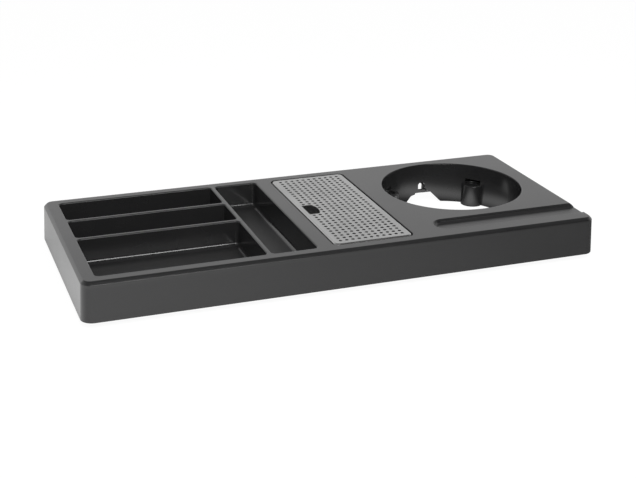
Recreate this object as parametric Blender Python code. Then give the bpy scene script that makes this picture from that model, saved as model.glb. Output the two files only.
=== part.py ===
"""Hospitality tray: one moulded shell with compartments, a lift-out drip grille over a drip well,
a round kettle well and rubber feet. Units are metres and +Z is up. The origin is the centre of the
footprint, on the surface that the feet stand on. X runs along the tray and -Y is its front."""

import math

import bmesh
import bpy

# Heights
DECK_HEIGHT = 0.0410
WALL_CLEARANCE = 0.0056
SKIRT_CLEARANCE = 0.0004
COMPARTMENT_DEPTH = 0.0240

# Moulding
SHELL_WALL = 0.0025
WALL_DRAFT = math.radians(3.3)
POCKET_DRAFT = math.radians(2)
CORNER_RADIUS = 0.0108
EDGE_RADIUS = 0.0030
EDGE_SOFTENING = 0.0012
POCKET_CORNER = 0.0040
POCKET_FILLET = 0.0045
BASIN_FILLET = 0.0030
LEAST_RADIUS = 0.0003
RIM_MARGIN = 0.0139
END_MARGIN = 0.0150
SEAT_GAP = 0.0003
OVERRUN = 0.0040

# Compartments, left to right and back to front
LONG_SLOT_LENGTH = 0.1475
BACK_SLOT_WIDTH = 0.0450
MIDDLE_SLOT_WIDTH = 0.0424
DIVIDER = 0.0041
CROSS_SLOT_WIDTH = 0.0418

# Drip well and grille
GRILLE_BRIDGE = 0.0148
GRILLE_LENGTH = 0.0743
GRILLE_PLAY = 0.0014
GRILLE_SHEET = 0.0006
GRILLE_RIM = 0.0040
GRILLE_BEND = 0.0015
GRILLE_CORNER = 0.0050
GRILLE_BORDER = 0.0055
HOLE_PITCH_X = 0.0059
HOLE_PITCH_Y = 0.00605
HOLE_RADIUS = 0.0016
LEDGE_WIDTH = 0.0056
BASIN_DEPTH = 0.0065
RECESS_SOFTENING = 0.0006
FINGER_SETBACK = 0.0046
FINGER_WIDTH = 0.0127
FINGER_LENGTH = 0.0236
FINGER_BOW = 0.0032

# Kettle well
KETTLE_BRIDGE = 0.0211
KETTLE_RADIUS = 0.0688
KETTLE_SOFTENING = 0.0008
KETTLE_END_MARGIN = 0.0210
BOSS_INSET = 0.0013
BOSS_RADIUS = 0.0112
BOSS_HEIGHT = 0.0225
BOSS_SOCKET_RADIUS = 0.0072
BOSS_SOCKET_DEPTH = 0.0020
BOSS_BORE_RADIUS = 0.0024
BOSS_ANGLE = math.radians(44)
BOSS_COUNT = 4

# Cord route
CORD_OFFSET = 0.0028
NOTCH_TOP_WIDTH = 0.0201
NOTCH_HEIGHT = 0.0109
LIP_WIDTH = 0.0027
LIP_DROP = 0.0025
LIP_TIP = 0.0012
EXIT_WIDTH = 0.0078
EXIT_HEIGHT = 0.0115
GRIP_WIDTH = 0.0074
GRIP_HEIGHT = 0.0076
GRIP_CORNER = 0.0030
GRIP_RISE = 0.0031
GRIP_OFFSET = 0.0031
SLIT_WIDTH = 0.0016
SLIT_RISE = 0.0022
SLIT_OVERLAP = 0.0008
SLIT_LEAN = 0.8

# Spoon channel
CHANNEL_MARGIN = 0.0187
CHANNEL_WIDTH = 0.0242
CHANNEL_LENGTH = 0.1528
CHANNEL_DEPTH = 0.0035
CHANNEL_FILLET = 0.0026
CHANNEL_DRAFT = math.radians(14)
CHANNEL_SOFTENING = 0.0009

# Feet and underside webs
FOOT_RADIUS = 0.0080
FOOT_CHAMFER = 0.0008
SPIGOT_RADIUS = 0.0034
SPIGOT_LENGTH = 0.0060
POST_RADIUS = 0.0066
FOOT_INSET_X = 0.0200
FOOT_INSET_Y = 0.0225
MIDDLE_FOOT_INSET = 0.0340
WEB_THICKNESS = 0.0020
WEB_CLEARANCE = 0.0120

# Fineness of round shapes
CORNER_STEPS = 4
FILLET_STEPS = 3
SOFTENING_STEPS = 2
ROUND_STEPS = 60
BOSS_STEPS = 20
SMALL_STEPS = 12
HOLE_STEPS = 6
SMOOTH_ANGLE = math.radians(32)

# Layout worked out from the sizes above
TRAY_DEPTH = 2 * RIM_MARGIN + 2 * KETTLE_RADIUS + CHANNEL_WIDTH + CHANNEL_MARGIN
TRAY_LENGTH = (END_MARGIN + LONG_SLOT_LENGTH + DIVIDER + CROSS_SLOT_WIDTH + GRILLE_BRIDGE + GRILLE_LENGTH
               + 2 * GRILLE_PLAY + KETTLE_BRIDGE + 2 * KETTLE_RADIUS + KETTLE_END_MARGIN)
LEFT = -TRAY_LENGTH / 2
RIGHT = TRAY_LENGTH / 2
FRONT = -TRAY_DEPTH / 2
BACK = TRAY_DEPTH / 2
UNDER_DECK = DECK_HEIGHT - SHELL_WALL
FLOOR = DECK_HEIGHT - COMPARTMENT_DEPTH
LEDGE = DECK_HEIGHT - GRILLE_RIM
BASIN_FLOOR = LEDGE - BASIN_DEPTH
POCKET_Y0 = FRONT + RIM_MARGIN
POCKET_Y1 = BACK - RIM_MARGIN
LONG_X0 = LEFT + END_MARGIN
LONG_X1 = LONG_X0 + LONG_SLOT_LENGTH
CROSS_X0 = LONG_X1 + DIVIDER
CROSS_X1 = CROSS_X0 + CROSS_SLOT_WIDTH
RECESS_X0 = CROSS_X1 + GRILLE_BRIDGE
RECESS_X1 = RECESS_X0 + GRILLE_LENGTH + 2 * GRILLE_PLAY
BACK_SLOT_Y = POCKET_Y1 - BACK_SLOT_WIDTH
MIDDLE_SLOT_Y = BACK_SLOT_Y - DIVIDER - MIDDLE_SLOT_WIDTH
GRILLE_WIDTH = POCKET_Y1 - POCKET_Y0 - 2 * GRILLE_PLAY
KETTLE_X = RIGHT - KETTLE_END_MARGIN - KETTLE_RADIUS
KETTLE_Y = BACK - RIM_MARGIN - KETTLE_RADIUS
BOSS_CIRCLE = KETTLE_RADIUS - BOSS_INSET
CORD_X = KETTLE_X + CORD_OFFSET
CHANNEL_X0 = RIGHT - CHANNEL_LENGTH
CHANNEL_Y0 = FRONT + CHANNEL_MARGIN
CHANNEL_FLOOR = DECK_HEIGHT - CHANNEL_DEPTH


def quarter_turn(steps):
    """Angles from nothing to a right angle."""
    return [math.pi / 2 * i / steps for i in range(steps + 1)]


def rounded_ring(bounds, radius, z, grow):
    """Points of a rounded rectangle, anticlockwise, with its sides moved outwards by grow."""
    x0, x1, y0, y1 = bounds
    reach = max(radius + grow, LEAST_RADIUS)
    inset = reach - grow
    low_x, high_x, low_y, high_y = x0 + inset, x1 - inset, y0 + inset, y1 - inset
    centres = ((high_x, high_y), (low_x, high_y), (low_x, low_y), (high_x, low_y))
    points = []
    for quarter, (x, y) in enumerate(centres):
        for turn in quarter_turn(CORNER_STEPS):
            angle = quarter * math.pi / 2 + turn
            points.append((x + reach * math.cos(angle), y + reach * math.sin(angle), z))
    return points


def round_ring(x, y, radius, z, steps):
    """Points of a circle, anticlockwise."""
    turn = 2 * math.pi / steps
    return [(x + radius * math.cos(turn * i), y + radius * math.sin(turn * i), z) for i in range(steps)]


def add_loft(shape, rings):
    """Adds a closed solid through rings of equally many points, lowest ring first."""
    loops = [[shape.verts.new(point) for point in ring] for ring in rings]
    count = len(rings[0])
    for low, high in zip(loops, loops[1:]):
        for i in range(count):
            j = (i + 1) % count
            shape.faces.new((low[i], low[j], high[j], high[i]))
    shape.faces.new(reversed(loops[0]))
    shape.faces.new(loops[-1])


def make_object(name, shape):
    """An object from a bmesh, with its faces turned outwards."""
    bmesh.ops.recalc_face_normals(shape, faces=shape.faces)
    mesh = bpy.data.meshes.new(name)
    shape.to_mesh(mesh)
    shape.free()
    piece = bpy.data.objects.new(name, mesh)
    bpy.context.scene.collection.objects.link(piece)
    return piece


def loft(name, rings):
    shape = bmesh.new()
    add_loft(shape, rings)
    return make_object(name, shape)


def box(name, x0, x1, y0, y1, z0, z1):
    corners = ((x0, y0), (x1, y0), (x1, y1), (x0, y1))
    return loft(name, [[(x, y, z) for x, y in corners] for z in (z0, z1)])


def wall_cutter(name, outline, y0, y1):
    """An outline of (x, z) points driven through a wall along Y."""
    return loft(name, [[(x, y, z) for x, z in outline] for y in (y0, y1)])


def cylinder(name, x, y, radius, z0, z1, steps):
    return loft(name, [round_ring(x, y, radius, z, steps) for z in (z0, z1)])


def boolean(target, tool, operation):
    """Joins the tool to the target or cuts it away, then removes the tool."""
    step = target.modifiers.new(tool.name, "BOOLEAN")
    step.operation = operation
    step.solver = "EXACT"
    step.object = tool
    bpy.context.view_layer.update()
    evaluated = target.evaluated_get(bpy.context.evaluated_depsgraph_get())
    result = bpy.data.meshes.new_from_object(evaluated)
    target.modifiers.clear()
    before = target.data
    target.data = result
    bpy.data.meshes.remove(before)
    spent = tool.data
    bpy.data.objects.remove(tool)
    bpy.data.meshes.remove(spent)


def join(target, *tools):
    for tool in tools:
        boolean(target, tool, "UNION")


def cut(target, *tools):
    for tool in tools:
        boolean(target, tool, "DIFFERENCE")


def softened_edge(softening):
    """(height, growth) steps of a rounded top edge round an opening in the deck."""
    steps = []
    for angle in quarter_turn(SOFTENING_STEPS):
        height = DECK_HEIGHT - softening * (1 - math.sin(angle))
        steps.append((height, softening * (1 - math.cos(angle))))
    return steps + [(DECK_HEIGHT + OVERRUN, softening)]


def filleted_floor(floor, top, fillet, draft):
    """(height, growth) steps of a floor fillet below a drafted wall that ends at top."""
    foot = -(top - floor) * math.tan(draft)
    steps = []
    for angle in quarter_turn(FILLET_STEPS):
        steps.append((floor + fillet * (1 - math.cos(angle)), foot - fillet * (1 - math.sin(angle))))
    return steps


def rounded_loft(name, bounds, corner, profile):
    """A solid with rounded-rectangle sections that follows (height, growth) steps."""
    return loft(name, [rounded_ring(bounds, corner, z, grow) for z, grow in profile])


# The tray body


def tray_outside():
    """The drafted outside with its rounded top edge."""
    wall_top = DECK_HEIGHT - EDGE_RADIUS
    inset = (wall_top - WALL_CLEARANCE) * math.tan(WALL_DRAFT)
    profile = [(WALL_CLEARANCE, 0)]
    for angle in quarter_turn(FILLET_STEPS + 1):
        height = wall_top + EDGE_RADIUS * math.sin(angle)
        profile.append((height, -inset - EDGE_RADIUS * (1 - math.cos(angle))))
    return rounded_loft("tray_body", (LEFT, RIGHT, FRONT, BACK), CORNER_RADIUS, profile)


def underside_hollow():
    """The space below the deck, one wall in from the outside, before webs and tubs fill parts of it."""
    slope = math.tan(WALL_DRAFT)
    profile = [(WALL_CLEARANCE - OVERRUN, OVERRUN * slope - SHELL_WALL),
               (UNDER_DECK, (WALL_CLEARANCE - UNDER_DECK) * slope - SHELL_WALL)]
    return rounded_loft("underside_hollow", (LEFT, RIGHT, FRONT, BACK), CORNER_RADIUS, profile)


def tub(name, bounds, floor, top):
    """The material round a pocket, one wall thicker than the pocket on every side."""
    foot = SHELL_WALL - (top - floor) * math.tan(POCKET_DRAFT)
    profile = [(floor - SHELL_WALL, foot), (top + SHELL_WALL, SHELL_WALL)]
    return rounded_loft(name, bounds, POCKET_CORNER, profile)


def compartments():
    """(name, bounds) of each compartment."""
    return (("back_slot", (LONG_X0, LONG_X1, BACK_SLOT_Y, POCKET_Y1)),
            ("middle_slot", (LONG_X0, LONG_X1, MIDDLE_SLOT_Y, BACK_SLOT_Y - DIVIDER)),
            ("front_slot", (LONG_X0, LONG_X1, POCKET_Y0, MIDDLE_SLOT_Y - DIVIDER)),
            ("cross_slot", (CROSS_X0, CROSS_X1, POCKET_Y0, POCKET_Y1)))


def compartment_cutter(name, bounds):
    floor = filleted_floor(FLOOR, DECK_HEIGHT, POCKET_FILLET, POCKET_DRAFT)
    return rounded_loft(name, bounds, POCKET_CORNER, floor + softened_edge(EDGE_SOFTENING))


def recess_bounds():
    return RECESS_X0, RECESS_X1, POCKET_Y0, POCKET_Y1


def basin_bounds():
    x0, x1, y0, y1 = recess_bounds()
    return x0 + LEDGE_WIDTH, x1 - LEDGE_WIDTH, y0 + LEDGE_WIDTH, y1 - LEDGE_WIDTH


def drip_well_cutters():
    """The shallow recess that seats the grille, and the basin below its ledge."""
    recess = [(LEDGE, 0)] + softened_edge(RECESS_SOFTENING)
    basin = filleted_floor(BASIN_FLOOR, LEDGE, BASIN_FILLET, POCKET_DRAFT) + [(DECK_HEIGHT, 0)]
    return (rounded_loft("grille_recess", recess_bounds(), GRILLE_CORNER + GRILLE_PLAY, recess),
            rounded_loft("drip_basin", basin_bounds(), POCKET_CORNER, basin))


def skirt_radius(z):
    """Inner radius of the kettle well's drafted wall."""
    return KETTLE_RADIUS - (DECK_HEIGHT - z) * math.tan(WALL_DRAFT)


def skirt():
    """The wall of the kettle well, from just above the table into the deck."""
    heights = (SKIRT_CLEARANCE, DECK_HEIGHT - SHELL_WALL / 2)
    rings = [round_ring(KETTLE_X, KETTLE_Y, skirt_radius(z) + SHELL_WALL, z, ROUND_STEPS) for z in heights]
    return loft("skirt", rings)


def kettle_cutter():
    low = SKIRT_CLEARANCE - OVERRUN
    sections = [(low, skirt_radius(low) - KETTLE_RADIUS)] + softened_edge(KETTLE_SOFTENING)
    rings = [round_ring(KETTLE_X, KETTLE_Y, KETTLE_RADIUS + grow, z, ROUND_STEPS) for z, grow in sections]
    return loft("kettle_opening", rings)


def boss_places():
    for i in range(BOSS_COUNT):
        angle = BOSS_ANGLE + 2 * math.pi * i / BOSS_COUNT
        yield KETTLE_X + BOSS_CIRCLE * math.cos(angle), KETTLE_Y + BOSS_CIRCLE * math.sin(angle)


def channel(name, end, profile):
    """A trough section with a round left end, from the left end of the spoon channel to x = end."""
    radius = CHANNEL_WIDTH / 2
    rings = []
    for z, grow in profile:
        ring = [(end, CHANNEL_Y0 - grow, z), (end, CHANNEL_Y0 + CHANNEL_WIDTH + grow, z)]
        for turn in quarter_turn(2 * CORNER_STEPS):
            angle = math.pi / 2 + 2 * turn
            x = CHANNEL_X0 + radius + (radius + grow) * math.cos(angle)
            ring.append((x, CHANNEL_Y0 + radius + (radius + grow) * math.sin(angle), z))
        rings.append(ring)
    return loft(name, rings)


def channel_cutter():
    floor = filleted_floor(CHANNEL_FLOOR, DECK_HEIGHT, CHANNEL_FILLET, CHANNEL_DRAFT)
    return channel("spoon_channel", RIGHT + OVERRUN, floor + softened_edge(CHANNEL_SOFTENING))


def channel_backing():
    profile = [(CHANNEL_FLOOR - SHELL_WALL, SHELL_WALL), (DECK_HEIGHT, SHELL_WALL)]
    return channel("channel_backing", RIGHT, profile)


def web(name, x0, x1, y0, y1):
    """A stiffening web under the deck. One of its two spans is zero and gets the web's thickness."""
    half = WEB_THICKNESS / 2
    if x0 == x1:
        return box(name, x0 - half, x1 + half, y0, y1, WEB_CLEARANCE, DECK_HEIGHT)
    return box(name, x0, x1, y0 - half, y1 + half, WEB_CLEARANCE, DECK_HEIGHT)


def webs():
    """Webs below the slots and across to the outer wall, and webs that tie in the kettle skirt."""
    across = ((LONG_X0 + LONG_X1) / 2, (LONG_X1 + CROSS_X0) / 2, (CROSS_X1 + RECESS_X0) / 2)
    along = (BACK_SLOT_Y - DIVIDER / 2, MIDDLE_SLOT_Y - DIVIDER / 2)
    pieces = [web("web_across", x, x, FRONT, BACK) for x in across]
    pieces += [web("web_along", LEFT, RECESS_X1, y, y) for y in along]
    pieces.append(web("web_to_end", RECESS_X1, RIGHT, KETTLE_Y, KETTLE_Y))
    pieces.append(web("web_to_front", KETTLE_X, KETTLE_X, FRONT, KETTLE_Y))
    for x, y in boss_places():
        if y > KETTLE_Y:
            pieces.append(web("web_to_back", x, x, y, BACK))
    return pieces


def notch_outline():
    """The notch in the skirt: a wide trapezoid with a small lip in its top left corner."""
    low = SKIRT_CLEARANCE - OVERRUN
    half_top = NOTCH_TOP_WIDTH / 2
    half_low = half_top + NOTCH_HEIGHT - low
    lip_x = KETTLE_X - half_top + LIP_WIDTH
    return [(KETTLE_X - half_low, low), (KETTLE_X + half_low, low), (KETTLE_X + half_top, NOTCH_HEIGHT),
            (lip_x, NOTCH_HEIGHT), (lip_x, NOTCH_HEIGHT - LIP_TIP),
            (KETTLE_X - half_top - LIP_DROP, NOTCH_HEIGHT - LIP_DROP)]


def grip_outline():
    """The grip hole above the notch, with a level sill and a rounded top."""
    low = NOTCH_HEIGHT + GRIP_RISE
    right = CORD_X - GRIP_OFFSET + GRIP_WIDTH / 2
    left = right - GRIP_WIDTH
    spring = low + GRIP_HEIGHT - GRIP_CORNER
    outline = [(left, low), (right, low)]
    for quarter, x in enumerate((right - GRIP_CORNER, left + GRIP_CORNER)):
        for turn in quarter_turn(CORNER_STEPS):
            angle = quarter * math.pi / 2 + turn
            outline.append((x + GRIP_CORNER * math.cos(angle), spring + GRIP_CORNER * math.sin(angle)))
    return outline


def slit_outline():
    """The leaning slit from the grip hole down into the notch, which leaves a tongue beside it."""
    top = NOTCH_HEIGHT + GRIP_RISE + SLIT_RISE
    low = NOTCH_HEIGHT - SLIT_OVERLAP
    right = CORD_X - GRIP_OFFSET + GRIP_WIDTH / 2
    shift = (top - low) * SLIT_LEAN
    return [(right + shift - SLIT_WIDTH, low), (right + shift, low),
            (right, top), (right - SLIT_WIDTH, top)]


def exit_outline():
    """The arched slot in the back wall."""
    radius = EXIT_WIDTH / 2
    spring = WALL_CLEARANCE + EXIT_HEIGHT - radius
    outline = [(CORD_X - radius, WALL_CLEARANCE - OVERRUN), (CORD_X + radius, WALL_CLEARANCE - OVERRUN)]
    for turn in quarter_turn(2 * CORNER_STEPS):
        outline.append((CORD_X + radius * math.cos(2 * turn), spring + radius * math.sin(2 * turn)))
    return outline


def cord_cutters():
    """The cord's way out: a notch in the skirt, a grip hole with its slit, and a slot in the back wall."""
    inside = KETTLE_Y + BOSS_CIRCLE - BOSS_RADIUS
    outside = KETTLE_Y + KETTLE_RADIUS + SHELL_WALL + EDGE_SOFTENING
    through = BACK - 2 * SHELL_WALL - EDGE_RADIUS / 2
    return (wall_cutter("cord_notch", notch_outline(), inside, outside),
            wall_cutter("grip_hole", grip_outline(), inside, outside),
            wall_cutter("grip_slit", slit_outline(), inside, outside),
            wall_cutter("cord_exit", exit_outline(), through, BACK + OVERRUN))


def foot_places():
    """(x, y, top of the post) of each foot."""
    left = LEFT + FOOT_INSET_X
    right = RIGHT - FOOT_INSET_X
    middle = (RECESS_X0 + RECESS_X1) / 2
    under_floor = FLOOR - SHELL_WALL / 2
    front = FRONT + FOOT_INSET_Y
    back = BACK - FOOT_INSET_Y
    middle_front = FRONT + MIDDLE_FOOT_INSET
    middle_back = BACK - MIDDLE_FOOT_INSET
    under_basin = BASIN_FLOOR - SHELL_WALL / 2
    return ((left, front, under_floor), (middle, middle_front, under_basin),
            (right, front, CHANNEL_FLOOR - SHELL_WALL / 2), (left, back, under_floor),
            (middle, middle_back, under_basin), (right, back, DECK_HEIGHT - SHELL_WALL / 2))


def make_body():
    hollow = underside_hollow()
    cut(hollow, tub("long_tub", (LONG_X0, LONG_X1, POCKET_Y0, POCKET_Y1), FLOOR, DECK_HEIGHT))
    cut(hollow, tub("cross_tub", (CROSS_X0, CROSS_X1, POCKET_Y0, POCKET_Y1), FLOOR, DECK_HEIGHT))
    cut(hollow, tub("recess_tub", recess_bounds(), LEDGE, DECK_HEIGHT))
    cut(hollow, tub("basin_tub", basin_bounds(), BASIN_FLOOR, LEDGE))
    cut(hollow, channel_backing(), *webs())
    body = tray_outside()
    cut(body, hollow)
    join(body, skirt())
    for x, y, top in foot_places():
        join(body, cylinder("foot_post", x, y, POST_RADIUS, WALL_CLEARANCE, top, BOSS_STEPS))
        socket_top = WALL_CLEARANCE + SPIGOT_LENGTH + SEAT_GAP
        cut(body, cylinder("foot_socket", x, y, SPIGOT_RADIUS + SEAT_GAP, 0, socket_top, SMALL_STEPS))
    cut(body, kettle_cutter())
    socket_floor = BOSS_HEIGHT - BOSS_SOCKET_DEPTH
    above = BOSS_HEIGHT + OVERRUN
    for x, y in boss_places():
        join(body, cylinder("boss", x, y, BOSS_RADIUS, SKIRT_CLEARANCE, BOSS_HEIGHT, BOSS_STEPS))
        cut(body, cylinder("boss_socket", x, y, BOSS_SOCKET_RADIUS, socket_floor, above, SMALL_STEPS))
        cut(body, cylinder("boss_bore", x, y, BOSS_BORE_RADIUS, -OVERRUN, above, SMALL_STEPS))
    for name, bounds in compartments():
        cut(body, compartment_cutter(name, bounds))
    cut(body, *drip_well_cutters(), channel_cutter(), *cord_cutters())
    return body


# The drip grille, built round its own centre


def finger_outline():
    """The D-shaped finger cut-out: a straight side towards the slots and a bowed side."""
    x0 = FINGER_SETBACK - GRILLE_LENGTH / 2
    x1 = x0 + FINGER_WIDTH
    half = FINGER_LENGTH / 2
    radius = (half * half + FINGER_BOW * FINGER_BOW) / (2 * FINGER_BOW)
    spread = math.asin(half / radius)
    outline = [(x0, half), (x0, -half)]
    for i in range(CORNER_STEPS + 1):
        angle = spread * (2 * i / CORNER_STEPS - 1)
        outline.append((x1 - radius + radius * math.cos(angle), radius * math.sin(angle)))
    return outline


def spread_of_holes(span, pitch):
    """Places of one row of holes across a span, centred and clear of the border."""
    count = int((span - 2 * GRILLE_BORDER) / pitch) + 1
    return [(i - (count - 1) / 2) * pitch for i in range(count)]


def grille_holes():
    """Centres of the square grid of holes, without those that the finger cut-out replaces."""
    reach_x = FINGER_SETBACK + FINGER_WIDTH - GRILLE_LENGTH / 2 + HOLE_RADIUS
    reach_y = FINGER_LENGTH / 2 + HOLE_RADIUS
    for x in spread_of_holes(GRILLE_LENGTH, HOLE_PITCH_X):
        for y in spread_of_holes(GRILLE_WIDTH, HOLE_PITCH_Y):
            if x > reach_x or abs(y) > reach_y:
                yield x, y


def make_grille():
    half_x = GRILLE_LENGTH / 2
    half_y = GRILLE_WIDTH / 2
    bounds = (-half_x, half_x, -half_y, half_y)
    inner_bend = GRILLE_BEND - GRILLE_SHEET
    outside = [(0, 0)]
    inside = [(-OVERRUN, -GRILLE_SHEET)]
    for angle in quarter_turn(FILLET_STEPS):
        below = 1 - math.sin(angle)
        inwards = 1 - math.cos(angle)
        outside.append((GRILLE_RIM - GRILLE_BEND * below, -GRILLE_BEND * inwards))
        inside.append((GRILLE_RIM - GRILLE_SHEET - inner_bend * below,
                       -GRILLE_SHEET - inner_bend * inwards))
    grille = rounded_loft("drip_grille", bounds, GRILLE_CORNER, outside)
    cut(grille, rounded_loft("grille_inside", bounds, GRILLE_CORNER, inside))
    heights = (0, GRILLE_RIM + OVERRUN)
    punches = bmesh.new()
    for x, y in grille_holes():
        add_loft(punches, [round_ring(x, y, HOLE_RADIUS, z, HOLE_STEPS) for z in heights])
    add_loft(punches, [[(x, y, z) for x, y in finger_outline()] for z in heights])
    cut(grille, make_object("grille_punches", punches))
    grille.location = ((RECESS_X0 + RECESS_X1) / 2, (POCKET_Y0 + POCKET_Y1) / 2, LEDGE + SEAT_GAP)
    return grille


# The feet, each built round its own axis


def make_foot(name, x, y):
    """A chamfered rubber disc with the spigot that plugs into its post."""
    top = WALL_CLEARANCE - SEAT_GAP
    sections = ((0, FOOT_RADIUS - FOOT_CHAMFER), (FOOT_CHAMFER, FOOT_RADIUS), (top, FOOT_RADIUS),
                (top, SPIGOT_RADIUS), (WALL_CLEARANCE + SPIGOT_LENGTH, SPIGOT_RADIUS))
    foot = loft(name, [round_ring(0, 0, radius, z, SMALL_STEPS) for z, radius in sections])
    foot.location = (x, y, 0)
    return foot


def material(name, color, metallic, roughness):
    finish = bpy.data.materials.new(name)
    finish.use_nodes = True
    shader = finish.node_tree.nodes["Principled BSDF"]
    shader.inputs["Base Color"].default_value = (*color, 1)
    shader.inputs["Metallic"].default_value = metallic
    shader.inputs["Roughness"].default_value = roughness
    return finish


def dress(piece, finish):
    piece.data.name = piece.name
    piece.data.materials.clear()
    piece.data.materials.append(finish)
    piece.data.shade_smooth()
    piece.data.set_sharp_from_angle(angle=SMOOTH_ANGLE)


def main():
    for piece in list(bpy.data.objects):
        bpy.data.objects.remove(piece)
    dress(make_body(), material("satin_black_plastic", (0.012, 0.012, 0.012), 0, 0.3))
    dress(make_grille(), material("brushed_steel", (0.55, 0.55, 0.55), 1, 0.4))
    rubber = material("black_rubber", (0.012, 0.012, 0.012), 0, 0.8)
    for number, (x, y, _) in enumerate(foot_places(), 1):
        dress(make_foot(f"foot_{number}", x, y), rubber)


main()
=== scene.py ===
"""Looks for the hospitality tray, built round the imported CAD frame. Metres, +Z up."""
import math

import bmesh
import bpy
from mathutils import Matrix, Vector


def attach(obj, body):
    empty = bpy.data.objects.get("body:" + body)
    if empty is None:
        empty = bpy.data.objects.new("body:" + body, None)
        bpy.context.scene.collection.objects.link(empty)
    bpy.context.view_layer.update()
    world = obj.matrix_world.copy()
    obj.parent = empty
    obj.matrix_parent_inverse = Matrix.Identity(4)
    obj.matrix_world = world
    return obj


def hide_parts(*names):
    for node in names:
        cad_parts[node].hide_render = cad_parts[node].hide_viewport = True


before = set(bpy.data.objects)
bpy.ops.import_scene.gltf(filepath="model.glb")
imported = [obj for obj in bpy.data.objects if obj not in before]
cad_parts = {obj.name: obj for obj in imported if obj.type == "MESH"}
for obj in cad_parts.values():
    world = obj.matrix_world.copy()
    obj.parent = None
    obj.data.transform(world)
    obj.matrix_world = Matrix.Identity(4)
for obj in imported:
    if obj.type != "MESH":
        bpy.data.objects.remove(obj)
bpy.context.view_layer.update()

# Camera, from a fit to the outline, the compartments and the grille
PHOTO_WIDTH = 636
FOCAL_PIXELS = 1231.53
SENSOR_WIDTH = 36
CAMERA_AZIMUTH = math.radians(-20.618)
CAMERA_ELEVATION = math.radians(21.7178)
CAMERA_ROLL = math.radians(0.7446)
CAMERA_DISTANCE = 1.1777
CAMERA_TARGET = (0.0064, 0.0120, 0.0056)

# Heights, as in the CAD
DECK_HEIGHT = 0.0410
WALL_CLEARANCE = 0.0056
SKIRT_CLEARANCE = 0.0004
COMPARTMENT_DEPTH = 0.0240

# Moulding
SHELL_WALL = 0.0025
WALL_DRAFT = math.radians(3.3)
POCKET_DRAFT = math.radians(2)
CORNER_RADIUS = 0.0108
EDGE_RADIUS = 0.0030
EDGE_POWER = 1.7
EDGE_SOFTENING = 0.0012
FOOT_EDGE_RADIUS = 0.0005
POCKET_CORNER = 0.0040
POCKET_FILLET = 0.0045
BASIN_FILLET = 0.0030
LEAST_RADIUS = 0.0003
RIM_MARGIN = 0.0139
END_MARGIN = 0.0150
SEAT_GAP = 0.0003
OVERRUN = 0.0040

# Compartments, left to right and back to front
LONG_SLOT_LENGTH = 0.1475
BACK_SLOT_WIDTH = 0.0450
MIDDLE_SLOT_WIDTH = 0.0424
DIVIDER = 0.0041
CROSS_SLOT_WIDTH = 0.0418

# Drip well and grille
GRILLE_BRIDGE = 0.0148
GRILLE_LENGTH = 0.0743
GRILLE_PLAY = 0.0014
GRILLE_SHEET = 0.0006
GRILLE_RIM = 0.0040
GRILLE_BEND = 0.0015
GRILLE_CORNER = 0.0050
GRILLE_BORDER = 0.0055
HOLE_PITCH_X = 0.0059
HOLE_PITCH_Y = 0.00605
HOLE_RADIUS = 0.0016
HOLE_BURR = 0.0001
LEDGE_WIDTH = 0.0056
BASIN_DEPTH = 0.0065
RECESS_SOFTENING = 0.0006
FINGER_SETBACK = 0.0046
FINGER_WIDTH = 0.0127
FINGER_LENGTH = 0.0236
FINGER_BOW = 0.0032

# Kettle well
KETTLE_BRIDGE = 0.0211
KETTLE_RADIUS = 0.0688
KETTLE_SOFTENING = 0.0008
KETTLE_END_MARGIN = 0.0210
BOSS_INSET = 0.0013
BOSS_RADIUS = 0.0112
BOSS_HEIGHT = 0.0225
BOSS_SOCKET_RADIUS = 0.0072
BOSS_SOCKET_DEPTH = 0.0020
BOSS_BORE_RADIUS = 0.0024
BOSS_ROUNDING = 0.0010
BOSS_ANGLE = math.radians(44)
BOSS_COUNT = 4

# Cord route
CORD_OFFSET = 0.0028
NOTCH_TOP_WIDTH = 0.0201
NOTCH_HEIGHT = 0.0109
LIP_WIDTH = 0.0027
LIP_DROP = 0.0025
LIP_TIP = 0.0012
EXIT_WIDTH = 0.0078
EXIT_HEIGHT = 0.0115
GRIP_WIDTH = 0.0074
GRIP_HEIGHT = 0.0076
GRIP_CORNER = 0.0030
GRIP_RISE = 0.0031
GRIP_OFFSET = 0.0031
SLIT_WIDTH = 0.0016
SLIT_RISE = 0.0022
SLIT_OVERLAP = 0.0008
SLIT_LEAN = 0.8

# Spoon channel
CHANNEL_MARGIN = 0.0187
CHANNEL_WIDTH = 0.0242
CHANNEL_LENGTH = 0.1528
CHANNEL_DEPTH = 0.0035
CHANNEL_FILLET = 0.0026
CHANNEL_DRAFT = math.radians(14)
CHANNEL_SOFTENING = 0.0009

# Feet and underside webs
FOOT_RADIUS = 0.0080
FOOT_CHAMFER = 0.0008
FOOT_GROOVE = 0.0003
SPIGOT_RADIUS = 0.0034
SPIGOT_LENGTH = 0.0060
POST_RADIUS = 0.0066
FOOT_INSET_X = 0.0200
FOOT_INSET_Y = 0.0225
MIDDLE_FOOT_INSET = 0.0340
WEB_THICKNESS = 0.0020
WEB_CLEARANCE = 0.0120

# Fineness of round shapes
CORNER_STEPS = 10
TOP_EDGE_STEPS = 9
LOWER_EDGE_STEPS = 2
FOOT_RIM_STEPS = 3
FILLET_STEPS = 7
SOFTENING_STEPS = 5
ROUND_STEPS = 180
BOSS_STEPS = 64
SMALL_STEPS = 40
HOLE_STEPS = 14
SMOOTH_ANGLE = math.radians(38)

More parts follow.
